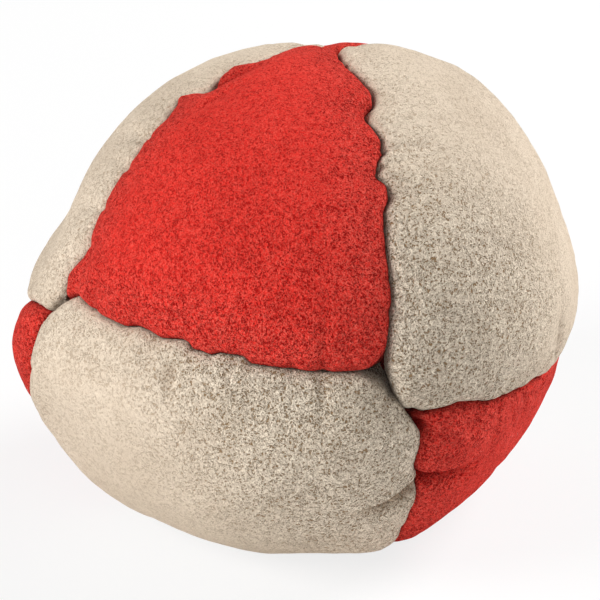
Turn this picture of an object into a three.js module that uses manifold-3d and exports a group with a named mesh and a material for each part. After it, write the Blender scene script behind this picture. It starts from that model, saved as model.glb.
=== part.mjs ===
// A footbag: eight three-sided suede panels, sewn edge to edge round a filling of loose sand.
// It is modelled as it lies after being set down, slumped on a level surface.
// Millimetres, +Z up. The front panel faces -Y. The origin is on the surface, under the middle of the bag.

import * as THREE from 'three';
import { mergeVertices } from 'three/addons/utils/BufferGeometryUtils.js';
import Module from 'manifold-3d';

// The filled bag: a ball that has slumped, a little lower than it is wide, onto a flat underside
const bagRadius = 27;
const bagRise = 26;
const bagFloorDepth = 20.3;
const bagFootRoll = 3;
const panelCrown = 1.2;

// Suede, and the edge of it that is turned into the bag along every seam
const leatherThickness = 1.1;
const seamAllowance = 3.2;
const seamSink = 1.3;
const seamGap = 0.3;
const crestRun = 0.7;

// Sewing: a running stitch through both turned-in edges
const threadDiameter = 0.5;
const threadTail = 1.2;
const stitchPitch = 4.5;
const stitchDepth = 1.7;
const threadClearance = 0.3;
const needleHoleClearance = 0.1;
const needleOverrun = 0.4;

// Sand
const fillingClearance = 0.3;

// Facets
const panelSteps = 10;
const shoulderSteps = 2;
const threadSides = 6;
const needleHoleSides = 3;
const tangentStepShare = 0.001;

// Worked out from the sizes above, as distances to one side of a seam or down from its crease
const edgeOffset = seamGap / 2;
const turnInOffset = edgeOffset + leatherThickness;
const threadOffset = turnInOffset + threadClearance + threadDiameter / 2;
const troughOffset = threadOffset + threadDiameter / 2 + fillingClearance;
const crestOffset = troughOffset + crestRun;
const fillingDepth = leatherThickness + fillingClearance;
const troughDepth = seamAllowance + fillingClearance;

// Where the sand has left the ball hollow as it slumped, or bulging if the depth is negative
const hollows = [
  { azimuthDegrees: -96, elevationDegrees: 30, spreadDegrees: 34, depth: 2 },
  { azimuthDegrees: 68, elevationDegrees: -29, spreadDegrees: 34, depth: 1.4 },
  { azimuthDegrees: -76, elevationDegrees: -16, spreadDegrees: 30, depth: -2.6 },
  { azimuthDegrees: -36, elevationDegrees: -45, spreadDegrees: 24, depth: 1.8 },
];

// Where seams meet: round the bag from the front towards +X, and above its middle
const corners = {
  top: { azimuthDegrees: 161, elevationDegrees: 68 },
  left: { azimuthDegrees: -63, elevationDegrees: 10.5 },
  front: { azimuthDegrees: 18, elevationDegrees: 5.5 },
  right: { azimuthDegrees: 107, elevationDegrees: -1 },
  back: { azimuthDegrees: 209, elevationDegrees: -5.5 },
  bottom: { azimuthDegrees: 321, elevationDegrees: -84 },
};

// Every seam, and how far its middle bows to the side
const seams = [
  { from: 'top', to: 'left', bowDegrees: 3.5 },
  { from: 'top', to: 'front', bowDegrees: -4.5 },
  { from: 'top', to: 'right', bowDegrees: -5 },
  { from: 'top', to: 'back', bowDegrees: 2 },
  { from: 'left', to: 'front', bowDegrees: 3.5 },
  { from: 'front', to: 'right', bowDegrees: -9 },
  { from: 'right', to: 'back', bowDegrees: 0 },
  { from: 'left', to: 'back', bowDegrees: 7.5 },
  { from: 'front', to: 'bottom', bowDegrees: 12 },
  { from: 'right', to: 'bottom', bowDegrees: 6.5 },
  { from: 'back', to: 'bottom', bowDegrees: -4.5 },
  { from: 'left', to: 'bottom', bowDegrees: -10 },
];

// Every panel: its corners, anticlockwise from outside, and how far the sand swells it
const panels = [
  { name: 'panel_red_front', suede: 'red', corners: ['top', 'left', 'front'], crownShare: 0.4 },
  { name: 'panel_beige_right', suede: 'beige', corners: ['top', 'front', 'right'], crownShare: 0.6 },
  { name: 'panel_beige_left', suede: 'beige', corners: ['top', 'back', 'left'], crownShare: 0.1 },
  { name: 'panel_beige_front', suede: 'beige', corners: ['left', 'bottom', 'front'], crownShare: 0.2 },
  { name: 'panel_red_right', suede: 'red', corners: ['front', 'bottom', 'right'], crownShare: 0.1 },
  { name: 'panel_red_left', suede: 'red', corners: ['left', 'back', 'bottom'], crownShare: 0.3 },
  { name: 'panel_red_top', suede: 'red', corners: ['top', 'right', 'back'], crownShare: 0.1 },
  { name: 'panel_beige_back', suede: 'beige', corners: ['right', 'bottom', 'back'], crownShare: 0.5 },
];

const materials = {
  red: new THREE.MeshStandardMaterial({ color: '#cf3b34', roughness: 0.95, metalness: 0 }),
  beige: new THREE.MeshStandardMaterial({ color: '#cfbda9', roughness: 0.95, metalness: 0 }),
  thread: new THREE.MeshStandardMaterial({ color: '#d8cbb8', roughness: 0.7, metalness: 0 }),
  sand: new THREE.MeshStandardMaterial({ color: '#c2a878', roughness: 1, metalness: 0 }),
};

function directionOf({ azimuthDegrees, elevationDegrees }) {
  const round = THREE.MathUtils.degToRad(azimuthDegrees);
  const up = THREE.MathUtils.degToRad(elevationDegrees);
  const level = Math.cos(up);
  return new THREE.Vector3(level * Math.sin(round), -level * Math.cos(round), Math.sin(up));
}

const cornerDirections = {};
for (const [name, angles] of Object.entries(corners)) {
  cornerDirections[name] = directionOf(angles);
}

const hollowShapes = hollows.map(({ depth, spreadDegrees, ...angles }) => ({
  depth,
  middle: directionOf(angles),
  spread: 1 - Math.cos(THREE.MathUtils.degToRad(spreadDegrees)),
}));

function seamBetween(a, b) {
  return seams.find((seam) => (seam.from === a && seam.to === b) || (seam.from === b && seam.to === a));
}

// Direction from the middle of the bag to a share of the way along the seam from corner a to corner b
function seamDirection(a, b, share) {
  const seam = seamBetween(a, b);
  const travelled = seam.from === a ? share : 1 - share;
  const start = cornerDirections[seam.from];
  const end = cornerDirections[seam.to];
  const angle = start.angleTo(end);
  const bow = Math.tan(THREE.MathUtils.degToRad(seam.bowDegrees)) * Math.sin(Math.PI * travelled);
  const direction = start.clone().multiplyScalar(Math.sin((1 - travelled) * angle) / Math.sin(angle));
  direction.addScaledVector(end, Math.sin(travelled * angle) / Math.sin(angle));
  return direction.addScaledVector(start.clone().cross(end).normalize(), bow).normalize();
}

// On a seam: out of the bag, along the seam, into the panel on its left, and mm travelled per unit of share
function seamFrame(a, b, share) {
  const before = Math.max(share - tangentStepShare, 0);
  const after = Math.min(share + tangentStepShare, 1);
  const along = seamDirection(a, b, after).sub(seamDirection(a, b, before));
  const out = seamDirection(a, b, share);
  const speed = (surfaceRadius(out, 0, 0) * along.length()) / (after - before);
  along.addScaledVector(out, -along.dot(out)).normalize();
  const inward = out.clone().cross(along);
  return { out, along, inward, speed };
}

// Distance from the middle of the bag to its surface where nothing holds it up
function slumpedRadius(direction) {
  const level = Math.hypot(direction.x, direction.y) / bagRadius;
  let radius = 1 / Math.hypot(level, direction.z / bagRise);
  for (const { depth, middle, spread } of hollowShapes) {
    radius -= depth * Math.exp((direction.dot(middle) - 1) / spread);
  }
  return radius;
}

// Distance from the middle of the bag to its surface, or to a layer below it
function surfaceRadius(direction, crown, depth) {
  const ball = slumpedRadius(direction) + crown - depth;
  if (direction.z >= 0) {
    return ball;
  }
  const floor = (bagFloorDepth - depth) / -direction.z;
  const past = ball - floor;
  if (past <= -bagFootRoll) {
    return ball;
  }
  if (past >= bagFootRoll) {
    return floor;
  }
  return ball - (past + bagFootRoll) ** 2 / (4 * bagFootRoll);
}

function panelSide(panel, side) {
  return [panel.corners[side % 3], panel.corners[(side + 1) % 3]];
}

// Sideways step, per mm of offset, from a panel's corner to where its two offset edges meet
function cornerMitre(panel, corner) {
  const arriving = seamFrame(...panelSide(panel, corner + 2), 1);
  const leaving = seamFrame(...panelSide(panel, corner), 0);
  const mitre = arriving.inward.clone().add(leaving.inward);
  mitre.divideScalar(1 + arriving.inward.dot(leaving.inward));
  return {
    mitre,
    out: leaving.out,
    trimAfter: mitre.dot(leaving.along) / leaving.speed,
    trimBefore: -mitre.dot(arriving.along) / arriving.speed,
  };
}

// Point at a step sideways from a seam, inset below the crests, on a layer at a depth
function besideSeam(out, sideways, inset, depth) {
  const height = surfaceRadius(out, 0, depth) - inset;
  const direction = out.clone().multiplyScalar(height).add(sideways).normalize();
  return direction.clone().multiplyScalar(surfaceRadius(direction, 0, depth) - inset);
}

// Point on a panel's layer, offset into the panel from one of its seams, or mitred at a corner
function edgePoint(panel, side, share, offset, inset, depth) {
  const start = cornerMitre(panel, side % 3);
  const end = cornerMitre(panel, (side + 1) % 3);
  if (share === 0 || share === 1) {
    const { out, mitre } = share === 0 ? start : end;
    return besideSeam(out, mitre.multiplyScalar(offset), inset, depth);
  }
  const first = offset * start.trimAfter;
  const last = 1 - offset * end.trimBefore;
  const frame = seamFrame(...panelSide(panel, side), first + (last - first) * share);
  return besideSeam(frame.out, frame.inward.multiplyScalar(offset), inset, depth);
}

// Closed solids are gathered as points and triangles
class Solid {
  points = [];
  faces = [];

  addPoint(point) {
    this.points.push(point);
    return this.points.length - 1;
  }

  addRing(points) {
    return points.map((point) => this.addPoint(point));
  }

  addQuad(a, b, c, d) {
    this.faces.push([a, b, c], [a, c, d]);
  }

  // Faces between two closed rings of points. They face out where the first ring is the lower one.
  addBand(first, second, facesIn = false) {
    first.forEach((point, i) => {
      const next = (i + 1) % first.length;
      if (facesIn) {
        this.addQuad(point, second[i], second[next], first[next]);
      } else {
        this.addQuad(point, first[next], second[next], second[i]);
      }
    });
  }

  geometry() {
    const geometry = new THREE.BufferGeometry();
    const positions = this.points.flatMap((point) => point.toArray());
    geometry.setAttribute('position', new THREE.Float32BufferAttribute(positions, 3));
    geometry.setIndex(this.faces.flat());
    return geometry;
  }
}

// The ring of points beside a panel's three seams
function edgeRing(panel, offset, inset, depth) {
  const ring = [];
  for (let side = 0; side < 3; side += 1) {
    for (let step = 0; step < panelSteps; step += 1) {
      ring.push(edgePoint(panel, side, step / panelSteps, offset, inset, depth));
    }
  }
  return ring;
}

// Point inside the crests, blended from the three edges that it lies between, by weights that add up to 1
function middlePoint(panel, weights, depth) {
  const edge = (side, share) => edgePoint(panel, side, share, crestOffset, 0, depth);
  const blend = new THREE.Vector3();
  for (let corner = 0; corner < 3; corner += 1) {
    const ahead = weights[(corner + 1) % 3];
    const behind = weights[(corner + 2) % 3];
    const reach = edge(corner, ahead).add(edge(corner + 2, 1 - behind)).sub(edge(corner, 0));
    blend.addScaledVector(reach, weights[corner]);
  }
  const direction = blend.normalize();
  const swell = 27 * weights[0] * weights[1] * weights[2];
  const crown = panelCrown * panel.crownShare * swell;
  return direction.clone().multiplyScalar(surfaceRadius(direction, crown, depth));
}

// The part of a panel's layer inside the crests. Returns its outer ring of points.
function addMiddle(solid, panel, depth, facesIn) {
  const rows = [];
  for (let towardsThird = 0; towardsThird <= panelSteps; towardsThird += 1) {
    const row = [];
    for (let towardsSecond = 0; towardsSecond <= panelSteps - towardsThird; towardsSecond += 1) {
      const towardsFirst = panelSteps - towardsThird - towardsSecond;
      const weights = [towardsFirst, towardsSecond, towardsThird].map((count) => count / panelSteps);
      row.push(solid.addPoint(middlePoint(panel, weights, depth)));
    }
    rows.push(row);
  }
  const addFace = (a, b, c) => solid.faces.push(facesIn ? [a, c, b] : [a, b, c]);
  for (let k = 0; k < panelSteps; k += 1) {
    for (let j = 0; j < panelSteps - k; j += 1) {
      addFace(rows[k][j], rows[k][j + 1], rows[k + 1][j]);
      if (j < panelSteps - k - 1) {
        addFace(rows[k][j + 1], rows[k + 1][j + 1], rows[k + 1][j]);
      }
    }
  }
  const firstSide = rows[0].slice(0, panelSteps);
  const secondSide = rows.slice(0, panelSteps).map((row) => row.at(-1));
  const thirdSide = rows.slice(1).map((row) => row[0]).reverse();
  return [...firstSide, ...secondSide, ...thirdSide];
}

// One panel: outer face rolled down into its seams, turned-in edges, and inner face
function panelSolid(panel) {
  const solid = new Solid();
  const innerEdge = solid.addRing(edgeRing(panel, turnInOffset, seamSink, leatherThickness));
  solid.addBand(addMiddle(solid, panel, leatherThickness, true), innerEdge);
  const innerRim = solid.addRing(edgeRing(panel, turnInOffset, seamSink, seamAllowance));
  solid.addBand(innerEdge, innerRim);
  const outerRim = solid.addRing(edgeRing(panel, edgeOffset, seamSink, seamAllowance));
  solid.addBand(innerRim, outerRim);
  let lower = outerRim;
  for (let step = 0; step < shoulderSteps; step += 1) {
    const turn = ((Math.PI / 2) * step) / shoulderSteps;
    const offset = edgeOffset + (crestOffset - edgeOffset) * (1 - Math.cos(turn));
    const upper = solid.addRing(edgeRing(panel, offset, seamSink * (1 - Math.sin(turn)), 0));
    solid.addBand(lower, upper);
    lower = upper;
  }
  solid.addBand(lower, addMiddle(solid, panel, 0, false));
  return solid;
}

// Distance from a seam's end to where the troughs beside it begin, in the tighter of its two panels
function troughStart(a, b) {
  const left = panels.find((panel) => [0, 1, 2].some((side) => panelSide(panel, side).join() === `${a},${b}`));
  const right = panels.find((panel) => [0, 1, 2].some((side) => panelSide(panel, side).join() === `${b},${a}`));
  const leftMitre = cornerMitre(left, left.corners.indexOf(a));
  const rightMitre = cornerMitre(right, right.corners.indexOf(a));
  const along = seamFrame(a, b, 0).along;
  return troughOffset * Math.max(leftMitre.mitre.dot(along), rightMitre.mitre.dot(along));
}

// Shares of a seam's run where its thread goes through, evenly spaced between the corners
function stitchShares(seam) {
  const radius = bagRadius - seamSink - stitchDepth;
  const angle = cornerDirections[seam.from].angleTo(cornerDirections[seam.to]);
  const start = troughStart(seam.from, seam.to) + threadTail;
  const end = troughStart(seam.to, seam.from) + threadTail;
  const sewn = angle * radius - start - end;
  const intervals = Math.max(Math.floor(sewn / stitchPitch), 1);
  const first = start + (sewn - intervals * stitchPitch) / 2;
  return Array.from({ length: intervals + 1 }, (_, i) => (first + i * stitchPitch) / (angle * radius));
}

// On the stitch line of a seam, at a distance to its left or, if negative, to its right
function stitchPoint(frame, offset) {
  const height = surfaceRadius(frame.out, 0, stitchDepth) - seamSink;
  return frame.out.clone().multiplyScalar(height).addScaledVector(frame.inward, offset);
}

// A tube of one diameter through path points that each have an up direction, square to the path
function addTube(solid, path) {
  const radius = threadDiameter / 2;
  const sidewaysAlong = (i) => {
    const run = path[i + 1].point.clone().sub(path[i].point);
    return path[i].up.clone().cross(run).normalize();
  };
  const rings = path.map(({ point, up }, i) => {
    const before = sidewaysAlong(Math.max(i - 1, 0));
    const after = sidewaysAlong(Math.min(i, path.length - 2));
    const mitre = before.clone().add(after).divideScalar(1 + before.dot(after));
    const ring = [];
    for (let side = 0; side < threadSides; side += 1) {
      const turn = (2 * Math.PI * (side + 0.5)) / threadSides;
      const sideways = mitre.clone().multiplyScalar(radius * Math.cos(turn));
      ring.push(solid.addPoint(point.clone().add(sideways).addScaledVector(up, radius * Math.sin(turn))));
    }
    return ring;
  });
  for (let i = 0; i < rings.length - 1; i += 1) {
    solid.addBand(rings[i], rings[i + 1]);
  }
  for (let side = 1; side < threadSides - 1; side += 1) {
    solid.faces.push([rings[0][0], rings[0][side + 1], rings[0][side]]);
    solid.faces.push([rings.at(-1)[0], rings.at(-1)[side], rings.at(-1)[side + 1]]);
  }
}

// The thread of one seam: along one turned-in edge, through both, back along the other, and so on
function threadSolid(seam) {
  const frames = stitchShares(seam).map((share) => seamFrame(seam.from, seam.to, share));
  const path = [];
  let offset = threadOffset;
  for (const frame of frames) {
    path.push({ point: stitchPoint(frame, offset), up: frame.out });
    offset = -offset;
    path.push({ point: stitchPoint(frame, offset), up: frame.out });
  }
  const addTail = (frame, side, reach) => ({
    point: stitchPoint(frame, side).addScaledVector(frame.along, reach),
    up: frame.out,
  });
  path.unshift(addTail(frames[0], threadOffset, -threadTail));
  path.push(addTail(frames.at(-1), offset, threadTail));
  const solid = new Solid();
  addTube(solid, path);
  return solid;
}

// What the needle leaves at one stitch: a hole square through both turned-in edges
function needleHole(frame) {
  const inscribed = threadDiameter / 2 + needleHoleClearance;
  const radius = inscribed / Math.cos(Math.PI / needleHoleSides);
  const length = 2 * (turnInOffset + needleOverrun);
  const geometry = new THREE.CylinderGeometry(radius, radius, length, needleHoleSides);
  geometry.rotateY(Math.PI / needleHoleSides);
  const turn = new THREE.Matrix4().makeBasis(frame.along, frame.inward, frame.out);
  geometry.applyMatrix4(turn.setPosition(stitchPoint(frame, 0)));
  return geometry;
}

// The sand, as one body under all the panels, with a trough along every seam for the turned-in edges
function fillingSolid() {
  const solid = new Solid();
  const troughRings = new Map();
  for (const panel of panels) {
    const shoulder = solid.addRing(edgeRing(panel, troughOffset, seamSink, fillingDepth));
    solid.addBand(addMiddle(solid, panel, fillingDepth, false), shoulder, true);
    const foot = solid.addRing(edgeRing(panel, troughOffset, seamSink, troughDepth));
    solid.addBand(foot, shoulder);
    troughRings.set(panel, foot);
  }
  const sideOf = (a, b) => {
    const panel = panels.find((other) => [0, 1, 2].some((side) => panelSide(other, side).join() === `${a},${b}`));
    const ring = troughRings.get(panel);
    const first = panel.corners.indexOf(a) * panelSteps;
    return Array.from({ length: panelSteps + 1 }, (_, step) => ring[(first + step) % ring.length]);
  };
  for (const { from, to } of seams) {
    const left = sideOf(from, to);
    const right = sideOf(to, from).reverse();
    for (let step = 0; step < panelSteps; step += 1) {
      solid.addQuad(right[step], right[step + 1], left[step + 1], left[step]);
    }
  }
  for (const name of Object.keys(corners)) {
    const around = panels.filter((panel) => panel.corners.includes(name));
    const ordered = [around[0]];
    while (ordered.length < around.length) {
      const last = ordered.at(-1).corners;
      const behind = last[(last.indexOf(name) + 2) % 3];
      ordered.push(around.find((panel) => panel.corners[(panel.corners.indexOf(name) + 1) % 3] === behind));
    }
    solid.addQuad(...ordered.map((panel) => troughRings.get(panel)[panel.corners.indexOf(name) * panelSteps]));
  }
  return solid;
}

const wasm = await Module();
wasm.setup();

function toManifold(source) {
  const bare = source.clone();
  bare.deleteAttribute('normal');
  bare.deleteAttribute('uv');
  const merged = mergeVertices(bare);
  const mesh = new wasm.Mesh({
    numProp: 3,
    vertProperties: new Float32Array(merged.attributes.position.array),
    triVerts: new Uint32Array(merged.index.array),
  });
  return new wasm.Manifold(mesh);
}

function fromManifold(manifold) {
  const mesh = manifold.getMesh();
  const geometry = new THREE.BufferGeometry();
  geometry.setAttribute('position', new THREE.BufferAttribute(mesh.vertProperties, 3));
  geometry.setIndex(new THREE.BufferAttribute(mesh.triVerts, 1));
  return geometry;
}

function pierced(geometry, holes) {
  let body = toManifold(geometry);
  for (const hole of holes) {
    body = body.subtract(toManifold(hole));
  }
  return fromManifold(body);
}

function addMesh(parent, name, geometry, material) {
  geometry.computeVertexNormals();
  const mesh = new THREE.Mesh(geometry, material);
  mesh.name = name;
  parent.add(mesh);
}

const bag = new THREE.Group();

const needleHoles = new Map();
for (const seam of seams) {
  const frames = stitchShares(seam).map((share) => seamFrame(seam.from, seam.to, share));
  needleHoles.set(seam, frames.map(needleHole));
}

for (const panel of panels) {
  const holes = [0, 1, 2].flatMap((side) => needleHoles.get(seamBetween(...panelSide(panel, side))));
  addMesh(bag, panel.name, pierced(panelSolid(panel).geometry(), holes), materials[panel.suede]);
}

for (const seam of seams) {
  addMesh(bag, `thread_${seam.from}_${seam.to}`, threadSolid(seam).geometry(), materials.thread);
}

addMesh(bag, 'sand_filling', fillingSolid().geometry(), materials.sand);

const box = new THREE.Box3().setFromObject(bag);
const middle = box.getCenter(new THREE.Vector3());
bag.position.set(-middle.x, -middle.y, -box.min.z);

const group = new THREE.Group();
group.add(bag);

export default group;
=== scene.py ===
"""A suede footbag, slumped on a pale table: eight panels sewn edge to edge round loose sand."""

import math

import bmesh
import bpy
import numpy as np
from mathutils import Color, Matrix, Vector, noise


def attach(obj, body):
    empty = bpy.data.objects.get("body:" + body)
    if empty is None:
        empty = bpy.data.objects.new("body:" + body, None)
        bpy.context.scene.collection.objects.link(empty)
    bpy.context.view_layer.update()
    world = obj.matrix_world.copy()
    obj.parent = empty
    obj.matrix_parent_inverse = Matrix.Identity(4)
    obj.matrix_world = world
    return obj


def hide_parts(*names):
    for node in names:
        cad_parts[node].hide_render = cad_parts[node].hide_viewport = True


MM = 0.001

# The filled bag, as in the CAD model: a ball that has slumped onto a flat underside
BAG_RADIUS = 27.0 * MM
BAG_RISE = 26.0 * MM
FLOOR_DEPTH = 20.3 * MM
FOOT_ROLL = 3.0 * MM
PANEL_CROWN = 1.2 * MM
BAG_MIDDLE = Vector((0.826 * MM, -0.017 * MM, FLOOR_DEPTH))

# The least share of a direction that points down, so that each one meets the floor, if far away
LEAST_FALL_SHARE = 1e-6

# Where the sand has left the bag hollow, or where it bulges if the depth is negative: the middle as
# (azimuth, elevation), the spread in degrees, and the depth
HOLLOWS = (
    ((-91, 28), 36, 2.0 * MM),
    ((62, -16), 28, 2.1 * MM),
    ((-76, -4), 20, -2.9 * MM),
    ((7, -62), 31, 1.6 * MM),
    ((30, -46), 12, -0.8 * MM),
    ((117, 51), 16, -0.9 * MM),
    ((90, 20), 15, 1.2 * MM),
    ((-108, -31), 24, -1.4 * MM),
    ((-43, -37), 16, 0.9 * MM),
    ((-160, 78), 20, 0.8 * MM),
    ((-106, 44), 14, -0.35 * MM),
    ((36.5, -52.5), 5, -0.6 * MM),
    ((54, -28), 8, -0.35 * MM),
)

# Suede, which is squeezed thin by the seams and turned into the bag along them
SUEDE_THICKNESS = 1.1 * MM
SQUEEZED_SHARE = 0.2
SQUEEZED_WITHIN = 2.5 * MM
TURNED_IN = 3.2 * MM
TURNED_IN_ROWS = 2
PANEL_CUTS = 175

# Across a seam: the gap, the tight roll of the suede into the crease, and the soft shoulder outside it
CREASE_GAP = 0.05 * MM
ROLL_DEPTH = 1.15 * MM
ROLL_WIDTH = 1.15 * MM
SHOULDER_DEPTH = 0.45 * MM
SHOULDER_WIDTH = 5.0 * MM
CORNER_ROUNDING = 0.4 * MM
ROUNDING_REACH = 5.0 * MM

# The rows of a panel's mesh, drawn together by the seams, where the suede turns most
ROW_CROWDING = 0.7 * MM
ROW_CROWDING_SHARE = 0.8

# Along a seam: stitches that pinch the suede, and a crease that wanders between them
STITCH_PITCH = 4.2 * MM
STITCH_JITTER_SHARE = 0.3
PINCH_DEPTH = 0.3 * MM
PINCH_WIDTH = 0.5 * MM
PINCH_REACH = 1.8 * MM
PULL_SPREAD_SHARE = 0.7
SEAM_WANDER = 0.12 * MM
WANDER_SOFTENING_SHARE = 0.018
SEAM_SAMPLES = 500

# Slow unevenness of the suede over the sand, and its fine ripple, each from its own part of the noise
SWELL_SIZE = 7.0 * MM
SWELL_DEPTH = 0.3 * MM
SWELL_SEED = 0
RIPPLE_SIZE = 1.4 * MM
RIPPLE_DEPTH = 0.05 * MM
RIPPLE_SEED = 7

# A panel's middle has three weights of a third each, and this brings their product to one there
MIDDLE_SCALE = 3**3

# Where seams meet: degrees round the bag from the front towards +X, and degrees above its middle
CORNERS = {
    "top": (161, 68),
    "left": (-65, 10.3),
    "front": (18, 5.5),
    "right": (107, -1),
    "back": (209, -5.5),
    "bottom": (321, -84),
}

# Every seam, with the degrees by which its middle bows to the side
SEAMS = {
    ("top", "left"): 3.5,
    ("top", "front"): -4.5,
    ("top", "right"): -5,
    ("top", "back"): 2,
    ("left", "front"): 3.5,
    ("front", "right"): -9,
    ("right", "back"): 0,
    ("left", "back"): 7.5,
    ("front", "bottom"): 12,
    ("right", "bottom"): 6.5,
    ("back", "bottom"): -4.5,
    ("left", "bottom"): -10,
}

# Strays of the seams in front: (share of the way along, mm to the left)
STRAY_SHARES = {
    ("top", "left"): (
        (0.14, -1.4), (0.2, 0), (0.24, 1.0), (0.27, -0.4), (0.3, -1.0), (0.33, -0.2), (0.37, 1.2),
        (0.395, 1.7), (0.41, 0.4), (0.43, -1.3), (0.455, -1.2), (0.48, 0.2), (0.51, 1.0),
        (0.575, 0.5), (0.62, 1.1), (0.67, 0.8), (0.77, 1.0), (0.84, 1.7), (0.87, 2.0), (0.9, 1.0),
        (0.925, 0.5), (0.95, 0.9),
    ),
    ("top", "front"): (
        (0.14, -1.1), (0.22, -0.8), (0.27, -0.2), (0.33, 0.6), (0.37, 0.3), (0.39, -0.6),
        (0.42, -0.6), (0.47, 0.3), (0.505, 0.3), (0.525, -0.4), (0.56, -0.8), (0.58, 0.1),
        (0.61, 0.3), (0.64, -0.5), (0.72, -0.7), (0.82, -0.4), (0.89, -0.8), (0.94, -0.9),
        (0.97, -0.5),
    ),
    ("left", "front"): (
        (0.04, 0.8), (0.075, 1.5), (0.14, 0.9), (0.2, 0.4), (0.28, 0.1), (0.33, 0.5), (0.4, -0.1),
        (0.455, 0.3), (0.475, 0.2), (0.49, -0.4), (0.54, -0.4), (0.56, 0.1), (0.62, 0.3),
        (0.64, -0.2), (0.7, 0), (0.78, 0.3), (0.85, 0.9), (0.92, 1.7), (0.955, 2.7), (0.975, 1.9),
        (0.99, 0.8),
    ),
    ("front", "right"): (
        (0.025, -1.2), (0.045, -2.0), (0.07, -1.6), (0.11, -1.1), (0.14, -0.8), (0.175, -0.3),
        (0.22, -0.3), (0.26, -0.6), (0.32, -0.6), (0.4, -0.5), (0.45, -0.8), (0.5, -0.7),
        (0.55, -1.2), (0.61, -2.2), (0.67, -2.7), (0.78, -2.4), (0.9, -1.1),
    ),
    ("front", "bottom"): (
        (0.01, 0.3), (0.03, 0.6), (0.06, 0.7), (0.12, 1.4), (0.15, 1.1), (0.18, 0.6), (0.2, 0.1),
        (0.22, 0.1), (0.245, 0.4), (0.27, 0.5), (0.3, 0.3), (0.33, 0.2), (0.38, -0.3),
    ),
    ("left", "back"): ((0.03, 0.6), (0.11, -0.1)),
    ("left", "bottom"): ((0.03, -0.5), (0.11, -0.2), (0.17, -0.1), (0.23, -0.9)),
}

# Corners of panels that the sand has pushed round, and how round they are
ROUNDED_CORNERS = {
    ("panel_red_front", "front"): 1.3 * MM,
    ("panel_red_front", "left"): 0.7 * MM,
    ("panel_beige_front", "front"): 2.2 * MM,
    ("panel_beige_right", "front"): 0.7 * MM,
    ("panel_red_right", "front"): 1.4 * MM,
}

# Corners of the beige panels that reach past the tips of the red ones: by what share of the next side
SLIPPED_SHARES = {
    ("panel_beige_front", "front"): 0.045,
    ("panel_beige_right", "front"): 0.05,
}

# Every panel: its corners anticlockwise from outside, how far the sand swells it, and the room that its
# middle is given to settle out into
PANELS = {
    "panel_red_front": (("top", "left", "front"), 0.4, 1.5 * MM),
    "panel_beige_right": (("top", "front", "right"), 0.6, 1.8 * MM),
    "panel_beige_left": (("top", "back", "left"), 0.1, 1.9 * MM),
    "panel_beige_front": (("left", "bottom", "front"), 0.2, 0.8 * MM),
    "panel_red_right": (("front", "bottom", "right"), 0.1, 2.1 * MM),
    "panel_red_left": (("left", "back", "bottom"), 0.3, 2.2 * MM),
    "panel_red_top": (("top", "right", "back"), 0.1, 2.0 * MM),
    "panel_beige_back": (("right", "bottom", "back"), 0.5, 1.6 * MM),
}

# Folds and dents in a panel, deepest at their first end: (azimuth, elevation) of both ends, width to
# the left and right, depth
FOLDS = {
    "panel_red_front": (
        ((-80, 70), (-70, 82), 1.3 * MM, 1.4 * MM, 1.2 * MM),
        ((-57, 65), (-45, 74), 0.6 * MM, 1.6 * MM, 0.4 * MM),
        ((36, 66), (20, 62), 0.8 * MM, 0.8 * MM, 0.4 * MM),
        ((21, 49), (10, 47), 0.7 * MM, 1.0 * MM, 0.4 * MM),
    ),
    "panel_beige_right": (
        ((24, 52), (38, 51.5), 0.4 * MM, 0.7 * MM, 0.6 * MM),
        ((25, 47.5), (31, 44), 0.6 * MM, 0.6 * MM, 0.4 * MM),
        ((33, 66.5), (52, 65), 1.0 * MM, 0.7 * MM, 0.5 * MM),
        ((73, -5), (67, 16), 0.6 * MM, 0.6 * MM, 0.35 * MM),
        ((20, 0), (32, 5), 0.6 * MM, 0.5 * MM, 0.3 * MM),
    ),
    "panel_beige_front": (
        ((-33, 16), (-32, 4), 0.7 * MM, 0.8 * MM, 0.5 * MM),
        ((-27.5, 9), (-26.5, 1), 0.8 * MM, 0.9 * MM, 0.7 * MM),
        ((-15.5, 14), (-14, 6), 0.8 * MM, 0.8 * MM, 0.3 * MM),
        ((26, -17), (8, -21.5), 1.8 * MM, 0.35 * MM, 2.1 * MM),
        ((27, -34), (18, -38), 1.0 * MM, 0.35 * MM, 1.0 * MM),
    ),
    "panel_red_right": (
        ((24.2, -3.4), (23.4, -8.5), 0.6 * MM, 0.6 * MM, 1.9 * MM),
        ((25, -18), (41, -18), 0.6 * MM, 1.3 * MM, 2.1 * MM),
        ((33, 1), (39, -9), 0.9 * MM, 1.2 * MM, 0.6 * MM),
        ((50, -2), (56, -17), 0.35 * MM, 0.35 * MM, 0.25 * MM),
        ((55, -3), (65, -18), 0.35 * MM, 0.35 * MM, 0.25 * MM),
        ((60, -3), (72, -18), 0.4 * MM, 0.4 * MM, 0.2 * MM),
    ),
}

# How a fold's depth falls along it: it stays deep for longer the lower this is
FOLD_LEAN = 0.7

# The suede's give under the pressing sand, simulated on a coarser and enlarged cut of each panel
SETTLING_CUTS = 71
SETTLING_ENLARGEMENT = 20
SETTLING_FRAMES = 18
SETTLING_PRESSURE = 0.3
SETTLING_SLACK_SHARE = 0.05
SETTLING_LIMIT = 2.0 * MM
HELD_WITHIN = 0.5 * MM
FREE_BEYOND = 2.2 * MM
COARSE_SMOOTHING = 12
FINE_SMOOTHING = 4

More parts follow.
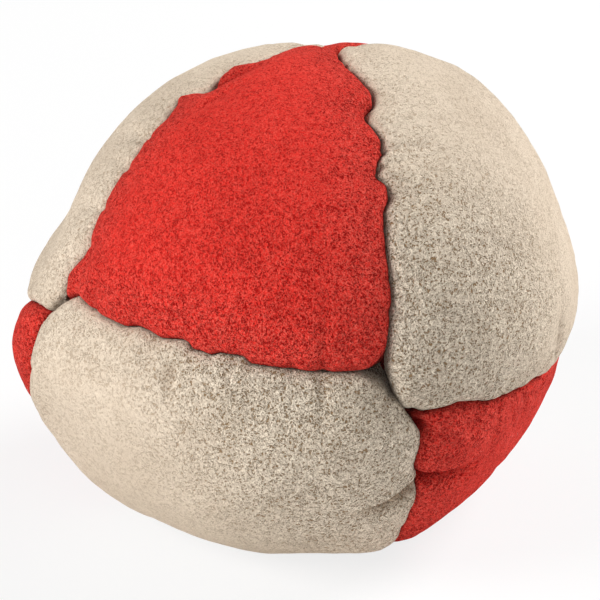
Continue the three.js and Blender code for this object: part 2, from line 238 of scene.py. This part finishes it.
# The nap, made of noise: slow clouds, tufts, fine grain, and curly fibres along its middle level
CLOUDS = {"size": 6.0 * MM, "Detail": 2.0}
TUFTS = {"size": 0.26 * MM, "Detail": 1.0, "Roughness": 0.5}
GRAIN = {"size": 0.14 * MM, "Detail": 1.0, "Roughness": 0.7}
FIBRE_CURL = {"Detail": 1.0, "Roughness": 0.4, "Distortion": 0.8}
COARSE_FIBRE_SIZE = 0.46 * MM
COARSE_FIBRE_WIDTH_SHARE = 0.14
FINE_FIBRE_SIZE = 0.32 * MM
FINE_FIBRE_WIDTH_SHARE = 0.15
FINE_FIBRE_HEIGHT_SHARE = 0.8
NOISE_MIDDLE = 0.5

# What the pile is made up of, and how high it stands
TUFT_SHARE = 0.2
GRAIN_SHARE = 0.4
FELT_SHARE = 0.4
PILE_HEIGHT = 0.33 * MM

# Marks of the nap: the noise levels at which each starts to show and shows fully, and how strongly
PIT_LEVELS = (0.49, 0.32)
FIBRE_LEVELS = (0.42, 0.6)
FIBRE_SHARE = 0.75
PALE_GRAIN_LEVELS = (0.6, 0.7)
PALE_GRAIN_SHARE = 0.5
CLOUD_LEVELS = (0.4, 0.65)
CLOUD_SHARE = 0.1

# How near a seam, or the corner in front, the nap starts to be rougher and is roughest; a rougher nap has
# more dark pits, and round the corner in front that is partly wear and partly painted shade
ROUGH_BY_SEAM = (7.0 * MM, 1.0 * MM)
ROUGH_WITH_WEAR_AND_SHADE = (27.0 * MM, 9.0 * MM)

# Painted shade in the folds, by how deep they are, and painted shade in the creases, by how near the seam is
FOLD_SHADE_DEPTHS = (0.1 * MM, 1.5 * MM)
FOLD_SHADE_SHARE = 0.9
CREASE_SHADE_DISTANCES = (0.4 * MM, -0.4 * MM)
CREASE_SHADE_COLOUR = (58, 42, 36)

# Colours are given in everyday values from 0 to this
WHITE_LEVEL = 255

# Each suede: the colours of its pits, its nap and its loose fibres, and how rough its nap is all over,
# how much rougher by the seams, and how much rougher and darker round the corner in front, partly as wear
# and partly as painted shade
RED_SUEDE = {
    "pit": (158, 12, 9),
    "nap": (224, 48, 40),
    "fibre": (246, 98, 84),
    "calm": 0.65,
    "by_seam": 0.5,
    "wear_and_shade": 0.3,
}
BEIGE_SUEDE = {
    "pit": (146, 119, 88),
    "nap": (216, 198, 177),
    "fibre": (254, 240, 218),
    "calm": 0.35,
    "by_seam": 0.2,
    "wear_and_shade": 0.95,
}
SUEDE_SHINE = {
    "Roughness": 0.95,
    "Specular IOR Level": 0.1,
    "Sheen Weight": 0.3,
    "Sheen Roughness": 0.35,
}

# Thread and sand: colour and roughness, and the specks in both
THREAD_COLOUR = (216, 203, 184)
THREAD_ROUGHNESS = 0.7
SAND_COLOUR = (194, 168, 120)
SAND_ROUGHNESS = 1.0
SPECKS = {"size": 0.5 * MM, "Detail": 2.0}
SPECK_COLOUR = (90, 75, 55)
SPECK_SHARE = 0.4

# The lump of sand, and its uneven surface
SAND_DEPTH = 4.0 * MM
SAND_CUTS = 5
SAND_GRAIN_SIZE = 0.8 * MM
SAND_GRAIN_DEPTH = 0.15 * MM
SAND_SEED = 3

# Camera: its height in degrees, its distance, how far right and up it aims, and the width that it sees
CAMERA_ELEVATION = 25.2
CAMERA_DISTANCE = 245 * MM
CAMERA_AIM = (-0.6 * MM, 0.157 * MM)
IMAGE_WIDTH_AT_BAG = 59.06 * MM

# Table, a hair below the bag's underside, and how much of it the camera sees as plain white
TABLE_DROP = 0.03 * MM
TABLE_REACH = 3000 * MM
TABLE_COLOUR = (0.85, 0.85, 0.85, 1)
TABLE_WHITE_SHARE = 0.8

# The light of the room, and every lamp: its place and width in metres, and its power in watts
ROOM_LIGHT = 0.07
LAMPS = {
    "key": ((-0.56, -0.24, 0.37), 0.35, 4.6),
    "back": ((0.47, 0.28, 0.38), 0.35, 4.9),
    "fill": ((0.16, -0.61, 0.3), 0.5, 1.25),
}

# The Mix node's sockets for colours, which go by number because others have the same names
MIX_FIRST, MIX_SECOND, MIX_RESULT = 6, 7, 2


def direction_of(azimuth, elevation):
    """Direction from the middle of the bag, from degrees round it and above it."""
    turned, raised = math.radians(azimuth), math.radians(elevation)
    level = math.cos(raised)
    return np.array((level * math.sin(turned), -level * math.cos(turned), math.sin(raised)))


def unit(vectors):
    """Vectors, each brought to a length of one."""
    return vectors / np.linalg.norm(vectors, axis=-1, keepdims=True)


def bowed_line(seam):
    """The smooth line of a seam from corner to corner, bowed to its side, as directions."""
    start, end = seam
    travelled = np.linspace(0, 1, SEAM_SAMPLES)[:, None]
    first, last = direction_of(*CORNERS[start]), direction_of(*CORNERS[end])
    angle = math.acos(first @ last)
    side = unit(np.cross(first, last))
    bow = math.tan(math.radians(SEAMS[seam])) * np.sin(math.pi * travelled)
    arc = np.sin((1 - travelled) * angle) * first + np.sin(travelled * angle) * last
    return unit(arc / math.sin(angle) + bow * side)


class Crease:
    """The line of one seam, sampled evenly: directions out of the bag and to the left of the seam."""

    def __init__(self, seam, chance):
        smooth = bowed_line(seam)
        steps = np.linalg.norm(np.diff(smooth, axis=0), axis=1) * BAG_RADIUS
        self.run = np.concatenate(([0], np.cumsum(steps)))
        count = int(self.run[-1] / STITCH_PITCH)
        even = (np.arange(count) + 0.5) / count * self.run[-1]
        jitter = chance.uniform(-STITCH_JITTER_SHARE, STITCH_JITTER_SHARE, count) * STITCH_PITCH
        self.stitches = even + jitter
        left = np.cross(smooth, unit(np.gradient(smooth, axis=0)))
        self.out = unit(smooth + left * (self.stray(seam, chance) / BAG_RADIUS)[:, None])
        self.left = np.cross(self.out, unit(np.gradient(self.out, axis=0)))
        gaps = np.abs(self.run[:, None] - self.stitches[None, :])
        self.pull = 1 + chance.uniform(-PULL_SPREAD_SHARE, PULL_SPREAD_SHARE, count)[gaps.argmin(axis=1)]
        self.pinch = self.pull * np.exp(-((gaps.min(axis=1) / PINCH_WIDTH) ** 2))

    def stray(self, seam, chance):
        """How far the crease strays to its left, with its ends held."""
        knots = np.concatenate(([0], self.stitches, [self.run[-1]]))
        strays = chance.uniform(-SEAM_WANDER, SEAM_WANDER, len(knots))
        strays[0] = strays[-1] = 0
        places = [(0, 0), *STRAY_SHARES.get(seam, ()), (1, 0)]
        shares, lefts = np.array(places).T
        total = np.interp(self.run, knots, strays) + np.interp(self.run / self.run[-1], shares, lefts * MM)
        softening = np.hanning(int(SEAM_SAMPLES * WANDER_SOFTENING_SHARE))
        return np.convolve(total, softening / softening.sum(), mode="same")

    def met(self, forwards):
        """The crease's samples as the panel to its left meets them, or the panel to its right."""
        step = 1 if forwards else -1
        samples = np.column_stack((self.out, self.left * step, self.pinch, self.pull))
        return samples[::step]


class Side:
    """A crease as one panel meets it, going anticlockwise round the panel."""

    def __init__(self, samples):
        self.out, self.inward = samples[:, :3], samples[:, 3:6]
        self.pinch, self.pull = samples[:, 6], samples[:, 7]
        self.shares = np.linspace(0, 1, len(samples))

    def at(self, share):
        """The directions at some shares of the way along."""
        return np.stack([np.interp(share, self.shares, self.out[:, axis]) for axis in range(3)], axis=1)

    def beside(self, directions):
        """For each direction: its distance into the panel, and the sample of the crease beside it."""
        nearest = np.argmax(directions @ self.out.T, axis=1)
        inset = np.einsum("ij,ij->i", directions, self.inward[nearest])
        away = np.linalg.norm(directions - self.out[nearest], axis=1)
        past_its_end = (nearest == 0) | (nearest == len(self.out) - 1)
        return BAG_RADIUS * np.where(past_its_end, away, inset), nearest


def sides_of(name, creases):
    """The three sides of a panel, with each slipped corner moved along to its place on the next side."""
    corners = PANELS[name][0]
    samples = []
    for start, end in zip(corners, corners[1:] + corners[:1]):
        forwards = (start, end) in creases
        samples.append(creases[(start, end) if forwards else (end, start)].met(forwards))
    for number, corner in enumerate(corners):
        slip = int(SLIPPED_SHARES.get((name, corner), 0) * SEAM_SAMPLES)
        samples[number - 1] = np.concatenate((samples[number - 1], samples[number][:slip]))
        samples[number] = samples[number][slip:]
    return [Side(part) for part in samples]


def blended_directions(sides, weights):
    """Directions inside a panel, blended from its three creases."""
    total = np.zeros((len(weights), 3))
    for corner in range(3):
        ahead, behind = weights[:, (corner + 1) % 3], weights[:, (corner + 2) % 3]
        reach = sides[corner].at(ahead) + sides[corner - 1].at(1 - behind) - sides[corner].out[0]
        total += reach * weights[:, corner, None]
    return unit(total)


def crowded_directions(sides, weights):
    """Directions inside a panel, crowded by its seams but held off the creases themselves."""
    directions = blended_directions(sides, weights)
    for side in sides:
        beside, nearest = side.beside(directions)
        rows_away = beside / ROW_CROWDING
        shift = (CREASE_GAP - ROW_CROWDING * ROW_CROWDING_SHARE * rows_away) * np.exp(-rows_away)
        directions = unit(directions + side.inward[nearest] * (shift / BAG_RADIUS)[:, None])
    return directions


def surface_radius(directions, crown):
    """Distance from the middle of the bag to its slumped surface."""
    level = np.hypot(directions[:, 0], directions[:, 1]) / BAG_RADIUS
    ball = 1 / np.hypot(level, directions[:, 2] / BAG_RISE) + crown
    for middle, spread, depth in HOLLOWS:
        away = directions @ direction_of(*middle) - 1
        ball = ball - depth * np.exp(away / (1 - math.cos(math.radians(spread))))
    floor = FLOOR_DEPTH / np.maximum(-directions[:, 2], LEAST_FALL_SHARE)
    past = np.clip(ball - floor, -FOOT_ROLL, FOOT_ROLL)
    rolled = ball - (past + FOOT_ROLL) ** 2 / (4 * FOOT_ROLL)
    return np.where(ball - floor >= FOOT_ROLL, floor, rolled)


def crease_profile(beside):
    """How far the suede has sunk at a distance beside a crease."""
    rolling = np.clip(1 - beside / ROLL_WIDTH, 0, None)
    roll = np.where(rolling < 1, 1 - np.sqrt(np.clip(1 - rolling**2, 0, None)), rolling)
    shoulder = np.clip(1 - beside / SHOULDER_WIDTH, 0, 1) ** 2
    return ROLL_DEPTH * roll + SHOULDER_DEPTH * shoulder


def folded_in(directions, folds):
    """How far the folds and dents of a panel sink its surface."""
    sunk = np.zeros(len(directions))
    for start, end, left_width, right_width, depth in folds:
        first, last = direction_of(*start), direction_of(*end)
        run = last - first
        length = np.linalg.norm(run)
        travelled = (directions - first) @ run / length**2
        along = np.clip(travelled, 0, 1)
        past_its_end = (travelled - along) * length * BAG_RADIUS
        sideways = (directions - first) @ unit(np.cross(first, last)) * BAG_RADIUS
        width = np.where(sideways > 0, left_width, right_width)
        sunk += depth * (1 - along) ** FOLD_LEAN * np.exp(-(sideways**2 + past_its_end**2) / width**2)
    return sunk


def softest_minimum(distances, rounding):
    """The least of some distances, eased where two are nearly alike, so that corners come out round."""
    return -rounding * np.log(np.exp(-distances / rounding).sum(axis=0))


def rounding_near(name, directions):
    """How round the corners of a panel are, at each of its directions."""
    rounding = np.full(len(directions), CORNER_ROUNDING)
    for corner in PANELS[name][0]:
        away = np.linalg.norm(directions - direction_of(*CORNERS[corner]), axis=1) * BAG_RADIUS
        more = ROUNDED_CORNERS.get((name, corner), CORNER_ROUNDING) - CORNER_ROUNDING
        rounding += more * np.exp(-((away / ROUNDING_REACH) ** 2))
    return rounding


def unevenness(directions, size, seed):
    """Smooth noise over the bag, from -1 to 1."""
    places = directions * (BAG_RADIUS / size)
    return np.array([noise.noise(Vector(place) + Vector((seed, 0, 0))) for place in places])


def panel_surface(name, sides, weights, room, folds):
    """The outer face of a panel, how far each of its points is from a seam, and how deep in a fold."""
    directions = crowded_directions(sides, weights)
    found = [side.beside(directions) for side in sides]
    distances = np.array([distance for distance, _ in found])
    beside = softest_minimum(distances, rounding_near(name, directions))
    sunk = crease_profile(beside)
    for side, (distance, nearest) in zip(sides, found):
        reach = PINCH_REACH * side.pull[nearest]
        sunk += PINCH_DEPTH * side.pinch[nearest] * np.exp(-np.clip(distance, 0, None) / reach)
    swell = MIDDLE_SCALE * weights.prod(axis=1)
    sunk += SWELL_DEPTH * swell * unevenness(directions, SWELL_SIZE, SWELL_SEED)
    sunk += RIPPLE_DEPTH * unevenness(directions, RIPPLE_SIZE, RIPPLE_SEED)
    folded = folded_in(directions, folds)
    crown = (PANEL_CROWN * PANELS[name][1] - room) * swell
    radius = surface_radius(directions, crown) - sunk - folded
    return directions * radius[:, None], beside, folded


def cut_triangle(cuts):
    """A triangle cut fine, with a corner one step along each axis, so that each place is its weights."""
    bm = bmesh.new()
    bm.faces.new([bm.verts.new(corner) for corner in ((1, 0, 0), (0, 1, 0), (0, 0, 1))])
    bmesh.ops.subdivide_edges(bm, edges=bm.edges[:], cuts=cuts, use_grid_fill=True)
    bm.verts.ensure_lookup_table()
    return bm, np.array([vert.co for vert in bm.verts])


def placed_object(name, bm):
    """A smoothly shaded object in the scene, from a bmesh."""
    mesh = bpy.data.meshes.new(name)
    bm.to_mesh(mesh)
    bm.free()
    mesh.shade_smooth()
    placed = bpy.data.objects.new(name, mesh)
    bpy.context.scene.collection.objects.link(placed)
    return placed


def freedom(beside):
    """How free a place is to settle: not at all by a seam, and fully some way from it."""
    return np.clip((beside - HELD_WITHIN) / (FREE_BEYOND - HELD_WITHIN), 0, 1)


def add_cloth(trial, free):
    """Slack cloth on a trial panel, pressed from inside and held where it isn't free to settle."""
    held = trial.vertex_groups.new(name="held")
    for number, share in enumerate(free):
        held.add([number], 1 - share, "REPLACE")
    cloth = trial.modifiers.new("settling", "CLOTH").settings
    cloth.vertex_group_mass = "held"
    cloth.shrink_min = -SETTLING_SLACK_SHARE
    cloth.use_pressure = True
    cloth.uniform_pressure_force = SETTLING_PRESSURE
    cloth.effector_weights.gravity = 0


def settled(name, sides, room):
    """How each place of a coarse cut of a panel moves as the sand presses its slack suede out."""
    bm, weights = cut_triangle(SETTLING_CUTS)
    links = links_of(bm)
    points, beside, _ = panel_surface(name, sides, weights, room, ())
    for vert, point in zip(bm.verts, points):
        vert.co = point * SETTLING_ENLARGEMENT
    trial = placed_object("settling", bm)
    add_cloth(trial, freedom(beside))
    scene = bpy.context.scene
    for number in range(1, SETTLING_FRAMES + 1):
        scene.frame_set(number)
    shown = trial.evaluated_get(bpy.context.evaluated_depsgraph_get())
    moved = np.array([vert.co for vert in shown.data.vertices]) / SETTLING_ENLARGEMENT - points
    bpy.data.objects.remove(trial)
    scene.frame_set(1)
    lengths = np.linalg.norm(moved, axis=1, keepdims=True)
    moved *= SETTLING_LIMIT / np.maximum(lengths, SETTLING_LIMIT)
    return weights, smoothed(links, moved, COARSE_SMOOTHING)


def spread_finer(coarse, values, fine):
    """Values at the places of a coarse cut, carried over to a finer cut of the same triangle."""
    count = SETTLING_CUTS + 1
    table = np.zeros((count + 2, count + 2, 3))
    rows, columns = np.rint(coarse[:, :2] * count).astype(int).T
    table[rows, columns] = values
    down, across = fine[:, :2].T * count
    row, column = (np.minimum(part.astype(int), count) for part in (down, across))
    down, across = (down - row)[:, None], (across - column)[:, None]
    # A place lies in the near or the far triangle of its square of the coarse cut
    near = table[row, column] * (1 - down - across)
    near += table[row + 1, column] * down + table[row, column + 1] * across
    far = table[row + 1, column + 1] * (down + across - 1)
    far += table[row, column + 1] * (1 - down) + table[row + 1, column] * (1 - across)
    return np.where(down + across <= 1, near, far)


def links_of(bm):
    """The pairs of places that the edges of a bmesh link."""
    return np.array([[vert.index for vert in edge.verts] for edge in bm.edges])


def smoothed(links, values, times):
    """Values at the places of a mesh, each evened out with those that it is linked to."""
    count = np.bincount(links.ravel(), minlength=len(values))[:, None]
    for _ in range(times):
        total = np.zeros_like(values)
        np.add.at(total, links[:, 0], values[links[:, 1]])
        np.add.at(total, links[:, 1], values[links[:, 0]])
        values = (values + total / count) / 2
    return values


def lay_out(bm, points, beside, folded):
    """Put a panel's points in their places, and mark each with what its thickness, its nap and its painted
    shade in the folds and creases go by.
    """
    seam_distance = bm.verts.layers.float.new("seam_distance")
    fold_depth = bm.verts.layers.float.new("fold_depth")
    unsqueezed = bm.verts.layers.deform.new()
    for vert, point, distance, depth in zip(bm.verts, points, beside, folded):
        vert.co = point
        vert[seam_distance] = distance
        vert[fold_depth] = depth
        vert[unsqueezed][0] = min(max(distance / SQUEEZED_WITHIN, 0), 1)


def turn_in(bm):
    """The seam allowance: the edge of the suede, turned into the bag along every seam."""
    edge = [edge for edge in bm.edges if edge.is_boundary]
    for _ in range(TURNED_IN_ROWS):
        turned = bmesh.ops.extrude_edge_only(bm, edges=edge)["geom"]
        for vert in (part for part in turned if isinstance(part, bmesh.types.BMVert)):
            vert.co -= vert.co.normalized() * ((TURNED_IN - ROLL_DEPTH) / TURNED_IN_ROWS)
        edge = [part for part in turned if isinstance(part, bmesh.types.BMEdge) and part.is_boundary]


def face_outwards(bm):
    """Turn the faces of an open shell away from the middle of the bag."""
    bmesh.ops.recalc_face_normals(bm, faces=bm.faces[:])
    if sum(face.normal.dot(face.calc_center_median()) for face in bm.faces) < 0:
        bmesh.ops.reverse_faces(bm, faces=bm.faces[:])


def thicken(piece):
    """Give a panel the thickness of its suede, inwards, and less of it where the seams squeeze it."""
    piece.vertex_groups.new(name="unsqueezed")
    wall = piece.modifiers.new("suede thickness", "SOLIDIFY")
    wall.vertex_group = "unsqueezed"
    wall.thickness_vertex_group = SQUEEZED_SHARE
    wall.thickness = SUEDE_THICKNESS
    wall.offset = -1


def panel_piece(name, creases):
    """One panel: a triangle cut fine, laid on the bag, and its edges turned in along the seams."""
    sides = sides_of(name, creases)
    bm, weights = cut_triangle(PANEL_CUTS)
    room = PANELS[name][2]
    points, beside, folded = panel_surface(name, sides, weights, room, FOLDS.get(name, ()))
    moved = spread_finer(*settled(name, sides, room), weights)
    points += smoothed(links_of(bm), moved, FINE_SMOOTHING) * freedom(beside)[:, None]
    points[:, 2] = np.maximum(points[:, 2], -FLOOR_DEPTH)
    lay_out(bm, points, beside, folded)
    turn_in(bm)
    face_outwards(bm)
    bmesh.ops.translate(bm, verts=bm.verts[:], vec=BAG_MIDDLE)
    piece = placed_object(name + "_suede", bm)
    thicken(piece)
    return piece


def cut_flat(name, creases):
    """Width, length and area of the flat suede that a panel was cut from, seam allowances and all."""
    sides = sides_of(name, creases)
    lengths = [np.linalg.norm(np.diff(side.out, axis=0), axis=1).sum() * BAG_RADIUS for side in sides]
    # The area inside the seams is that of thin wedges of the ball, from the panel's middle to its edge
    around = np.concatenate([side.out for side in sides])
    ahead, middle = np.roll(around, -1, axis=0), unit(around.sum(axis=0))
    wedge = np.arctan2(
        np.cross(around, ahead) @ middle,
        1 + np.einsum("ij,ij->i", around, ahead) + around @ middle + ahead @ middle,
    )
    area = 2 * wedge.sum() * BAG_RADIUS**2
    base = max(lengths)
    height = 2 * area / base
    return (base + 2 * TURNED_IN, height + 2 * TURNED_IN), area + sum(lengths) * TURNED_IN


def sand_piece():
    """The sand, as one lump under the suede."""
    bm = bmesh.new()
    bmesh.ops.create_icosphere(bm, subdivisions=SAND_CUTS, radius=1)
    directions = unit(np.array([vert.co for vert in bm.verts]))
    grains = unevenness(directions, SAND_GRAIN_SIZE, SAND_SEED)
    radius = surface_radius(directions, 0) - SAND_DEPTH + SAND_GRAIN_DEPTH * grains
    for vert, point in zip(bm.verts, directions * radius[:, None]):
        vert.co = point
    bmesh.ops.translate(bm, verts=bm.verts[:], vec=BAG_MIDDLE)
    return placed_object("sand", bm)


class Flow:
    """The output of a node, used in sums as a number is."""

    def __init__(self, finish, socket):
        self.finish = finish
        self.socket = socket

    def __add__(self, other):
        return self.finish.sum("ADD", self, other)

    def __radd__(self, other):
        return self.finish.sum("ADD", other, self)

    def __sub__(self, other):
        return self.finish.sum("SUBTRACT", self, other)

    def __rsub__(self, other):
        return self.finish.sum("SUBTRACT", other, self)

    def __mul__(self, other):
        return self.finish.sum("MULTIPLY", self, other)

    def __rmul__(self, other):
        return self.finish.sum("MULTIPLY", other, self)


class Finish:
    """A material that is built up from nodes."""

    def __init__(self, name):
        self.material = bpy.data.materials.new(name)
        self.material.use_nodes = True
        self.tree = self.material.node_tree
        self.tree.nodes.clear()

    def node(self, kind, settings=None, inputs=None, output=0):
        """A node of some kind, with its settings made first, and its sockets then set or linked."""
        made = self.tree.nodes.new(kind)
        for name, value in (settings or {}).items():
            setattr(made, name, value)
        for name, value in (inputs or {}).items():
            if isinstance(value, Flow):
                self.tree.links.new(value.socket, made.inputs[name])
            else:
                made.inputs[name].default_value = value
        return Flow(self, made.outputs[output])

    def sum(self, operation, *values):
        return self.node("ShaderNodeMath", {"operation": operation}, dict(enumerate(values)))

    def place(self):
        return self.node("ShaderNodeTexCoord", output="Object")

    def attribute(self, name):
        return self.node("ShaderNodeAttribute", {"attribute_name": name}, output="Fac")

    def noise(self, place, size, **inputs):
        return self.node("ShaderNodeTexNoise", None, {"Vector": place, "Scale": 1 / size, **inputs})

    def ramp(self, value, low, high):
        """Zero at low, one at high, and smooth between them."""
        settings = {"interpolation_type": "SMOOTHSTEP"}
        return self.node("ShaderNodeMapRange", settings, {"Value": value, "From Min": low, "From Max": high})

    def mix(self, share, first, second, blend="MIX"):
        settings = {"data_type": "RGBA", "blend_type": blend}
        inputs = {"Factor": share, MIX_FIRST: first, MIX_SECOND: second}
        return self.node("ShaderNodeMix", settings, inputs, output=MIX_RESULT)

    def lit(self, inputs):
        """The material, with the usual shader for a solid surface."""
        return self.shown(self.node("ShaderNodeBsdfPrincipled", None, inputs))

    def shown(self, shader):
        """The material, with its shader brought to its output."""
        out = self.tree.nodes.new("ShaderNodeOutputMaterial")
        self.tree.links.new(shader.socket, out.inputs["Surface"])
        return self.material


def linear(colour):
    """A colour for a socket, from its everyday values."""
    return (*Color([level / WHITE_LEVEL for level in colour]).from_srgb_to_scene_linear(), 1)


def fibres(finish, place, size, width):
    """Thin curly lines, one where the suede's fibres lie, falling to nothing beside them."""
    level = finish.noise(place, size, **FIBRE_CURL)
    return finish.ramp(finish.sum("ABSOLUTE", level - NOISE_MIDDLE), width, 0.0)


def nap_of(finish, place):
    """The grain of the nap, the felt of its fibres, and the pile that they make up with the tufts."""
    tufts = finish.noise(place, **TUFTS)
    grain = finish.noise(place, **GRAIN)
    coarse = fibres(finish, place, COARSE_FIBRE_SIZE, COARSE_FIBRE_WIDTH_SHARE)
    fine = fibres(finish, place, FINE_FIBRE_SIZE, FINE_FIBRE_WIDTH_SHARE)
    felt = finish.sum("MAXIMUM", coarse, fine * FINE_FIBRE_HEIGHT_SHARE)
    return grain, felt, tufts * TUFT_SHARE + grain * GRAIN_SHARE + felt * FELT_SHARE


def from_front_corner(finish, place):
    """The distance from the corner in front, where the nap is roughest and darkest, partly as wear and
    partly as painted shade.
    """
    corner = BAG_MIDDLE + Vector(direction_of(*CORNERS["front"])) * BAG_RADIUS
    inputs = {0: place, 1: corner}
    return finish.node("ShaderNodeVectorMath", {"operation": "DISTANCE"}, inputs, output="Value")


def suede(name, pit, nap, fibre, calm, by_seam, wear_and_shade):
    """Suede whose nap is rougher by the seams and round the corner in front, where its darker pits are
    partly wear and partly painted shade, with painted shade in its folds and creases.
    """
    finish = Finish(name)
    place = finish.place()
    beside = finish.attribute("seam_distance")
    folded = finish.attribute("fold_depth")
    pit, nap, fibre = linear(pit), linear(nap), linear(fibre)
    grain, felt, pile = nap_of(finish, place)
    rough = calm + by_seam * finish.ramp(beside, *ROUGH_BY_SEAM)
    # Round the corner in front the rougher nap gets more dark pits: partly wear, partly painted shade
    rough = rough + wear_and_shade * finish.ramp(from_front_corner(finish, place), *ROUGH_WITH_WEAR_AND_SHADE)
    clouds = finish.noise(place, **CLOUDS)
    base = finish.mix(finish.ramp(pile, *PIT_LEVELS) * rough, nap, pit)
    base = finish.mix(felt * finish.ramp(grain, *FIBRE_LEVELS) * rough * FIBRE_SHARE, base, fibre)
    base = finish.mix(finish.ramp(grain, *PALE_GRAIN_LEVELS) * rough * PALE_GRAIN_SHARE, base, fibre)
    base = finish.mix(finish.ramp(clouds, *CLOUD_LEVELS) * CLOUD_SHARE, base, pit)
    # Painted shade: the folds are darkened by their depth
    painted_fold_shade = finish.ramp(folded, *FOLD_SHADE_DEPTHS) * FOLD_SHADE_SHARE
    base = finish.mix(painted_fold_shade, base, pit, "MULTIPLY")
    # Painted shade: the creases are darkened towards the seam
    painted_crease_shade = finish.ramp(beside, *CREASE_SHADE_DISTANCES)
    base = finish.mix(painted_crease_shade, base, linear(CREASE_SHADE_COLOUR), "MULTIPLY")
    relief = finish.node("ShaderNodeBump", None, {"Distance": PILE_HEIGHT, "Height": pile * rough})
    return finish.lit({"Base Color": base, "Sheen Tint": fibre, "Normal": relief, **SUEDE_SHINE})


def speckled(name, colour, roughness):
    """A dull finish with dark specks."""
    finish = Finish(name)
    specks = finish.noise(finish.place(), **SPECKS)
    shade = finish.mix(specks * SPECK_SHARE, linear(colour), linear(SPECK_COLOUR))
    return finish.lit({"Base Color": shade, "Roughness": roughness})


def table_finish():
    """Matt white, and for the camera mostly plain white, so that only a pale shadow shows."""
    finish = Finish("table")
    matt = finish.node("ShaderNodeBsdfDiffuse", None, {"Color": TABLE_COLOUR})
    white = finish.node("ShaderNodeEmission")
    seen = finish.node("ShaderNodeLightPath", output="Is Camera Ray")
    inputs = {0: seen * TABLE_WHITE_SHARE, 1: matt, 2: white}
    return finish.shown(finish.node("ShaderNodeMixShader", None, inputs))


def add_table():
    """The table that the bag stands on, as part of the stage."""
    bm = bmesh.new()
    bmesh.ops.create_grid(bm, x_segments=1, y_segments=1, size=TABLE_REACH)
    bmesh.ops.translate(bm, verts=bm.verts[:], vec=(0, 0, -TABLE_DROP))
    table = placed_object("table", bm)
    table.data.materials.append(table_finish())


def add_lamp(name, place, size, power):
    """A round lamp, turned towards the bag."""
    lamp = bpy.data.lights.new(name, "AREA")
    lamp.shape = "DISK"
    lamp.size = size
    lamp.energy = power
    holder = bpy.data.objects.new(name, lamp)
    holder.location = place
    holder.rotation_euler = (BAG_MIDDLE - Vector(place)).to_track_quat("-Z", "Y").to_euler()
    bpy.context.scene.collection.objects.link(holder)


def add_camera():
    """The camera at the photograph's height, with the bag as large in its view."""
    raised = math.radians(CAMERA_ELEVATION)
    towards = Vector((0, -math.cos(raised), math.sin(raised)))
    up = Vector((0, math.sin(raised), math.cos(raised)))
    lens = bpy.data.cameras.new("camera")
    lens.sensor_fit = "HORIZONTAL"
    lens.lens = lens.sensor_width * CAMERA_DISTANCE / IMAGE_WIDTH_AT_BAG
    camera = bpy.data.objects.new("camera", lens)
    camera.location = BAG_MIDDLE + towards * CAMERA_DISTANCE
    aim = BAG_MIDDLE + Vector((1, 0, 0)) * CAMERA_AIM[0] + up * CAMERA_AIM[1]
    camera.rotation_euler = (aim - camera.location).to_track_quat("-Z", "Y").to_euler()
    bpy.context.scene.collection.objects.link(camera)
    bpy.context.scene.camera = camera


def add_world():
    """A dim room all round, which the camera sees as plain white."""
    world = bpy.data.worlds.new("studio")
    world.use_nodes = True
    tree = world.node_tree
    seen = tree.nodes.new("ShaderNodeLightPath")
    strength = tree.nodes.new("ShaderNodeMapRange")
    strength.inputs["To Min"].default_value = ROOM_LIGHT
    tree.nodes["Background"].inputs["Color"].default_value = (1, 1, 1, 1)
    tree.links.new(seen.outputs["Is Camera Ray"], strength.inputs["Value"])
    tree.links.new(strength.outputs["Result"], tree.nodes["Background"].inputs["Strength"])
    bpy.context.scene.world = world


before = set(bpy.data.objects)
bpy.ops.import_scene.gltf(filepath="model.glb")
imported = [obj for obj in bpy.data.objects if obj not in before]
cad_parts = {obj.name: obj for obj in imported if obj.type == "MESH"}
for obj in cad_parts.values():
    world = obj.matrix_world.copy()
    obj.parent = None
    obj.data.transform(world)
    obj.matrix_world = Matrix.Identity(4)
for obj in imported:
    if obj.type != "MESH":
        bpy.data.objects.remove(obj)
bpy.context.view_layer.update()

RED = suede("red suede", **RED_SUEDE)
BEIGE = suede("beige suede", **BEIGE_SUEDE)
THREAD = speckled("thread", THREAD_COLOUR, THREAD_ROUGHNESS)
SAND = speckled("sand", SAND_COLOUR, SAND_ROUGHNESS)

creases = {seam: Crease(seam, np.random.default_rng(number)) for number, seam in enumerate(SEAMS)}
for name in PANELS:
    piece = panel_piece(name, creases)
    piece.data.materials.append(RED if "red" in name else BEIGE)
    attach(piece, "root")
    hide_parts(name)
    flat, area = cut_flat(name, creases)

sand = sand_piece()
sand.data.materials.append(SAND)
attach(sand, "root")
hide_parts("sand_filling")

for node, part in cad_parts.items():
    if node.startswith("thread_"):
        part.data.materials.clear()
        part.data.materials.append(THREAD)

add_table()
for name, (place, size, power) in LAMPS.items():
    add_lamp(name, place, size, power)
add_world()
add_camera()

bpy.context.scene.view_settings.view_transform = "Standard"
